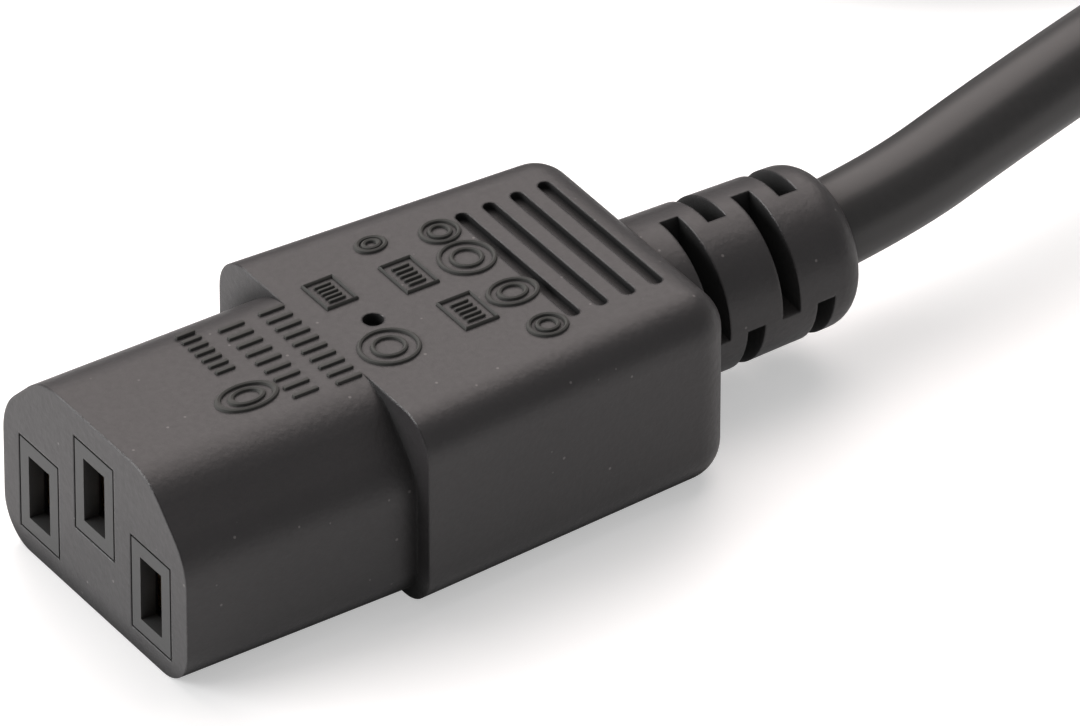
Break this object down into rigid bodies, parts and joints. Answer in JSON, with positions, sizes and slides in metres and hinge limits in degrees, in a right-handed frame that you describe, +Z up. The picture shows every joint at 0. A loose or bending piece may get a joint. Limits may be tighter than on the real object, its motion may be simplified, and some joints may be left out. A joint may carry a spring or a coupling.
{
  "type": "splitter power cord",
  "caption": "Black moulded splitter power cord: appliance connectors with slotted strain reliefs on short round legs that join in a three-pin shrouded plug.",
  "frame": {"origin": "middle of connector A's underside, on the surface it lies on", "axes": "+Z up, +Y along connector A from its socket face towards its cord, +X across it"},
  "size_m": [0.1511, 0.1641, 0.0206],
  "materials": {
    "moulded_pvc": "matte",
    "carrier_plastic": "matte",
    "cord_jacket": "satin",
    "contact_metal": "satin",
    "pin_metal": "nickel plated",
    "line_insulation": "satin",
    "neutral_insulation": "satin",
    "earth_insulation": "satin"
  },
  "bodies": {
    "root": {"connector_a_carrier": "carrier_plastic", "connector_a_earth_contact": "contact_metal", "connector_a_earth_core": "earth_insulation", "connector_a_line_contact": "contact_metal", "connector_a_line_core": "line_insulation", "connector_a_neutral_contact": "contact_metal", "connector_a_neutral_core": "neutral_insulation", "connector_a_overmould": "moulded_pvc", "connector_b_carrier": "carrier_plastic", "connector_b_earth_contact": "contact_metal", "connector_b_earth_core": "earth_insulation", "connector_b_line_contact": "contact_metal", "connector_b_line_core": "line_insulation", "connector_b_neutral_contact": "contact_metal", "connector_b_neutral_core": "neutral_insulation", "connector_b_overmould": "moulded_pvc", "leg_a_cord": "cord_jacket", "leg_b_cord": "cord_jacket", "plug_earth_core_leg_a": "earth_insulation", "plug_earth_core_leg_b": "earth_insulation", "plug_earth_pin": "pin_metal", "plug_line_core_leg_a": "line_insulation", "plug_line_core_leg_b": "line_insulation", "plug_line_pin": "pin_metal", "plug_neutral_core_leg_a": "neutral_insulation", "plug_neutral_core_leg_b": "neutral_insulation", "plug_neutral_pin": "pin_metal", "plug_overmould": "moulded_pvc", "plug_pin_carrier": "carrier_plastic"}
  },
  "joints": []
}
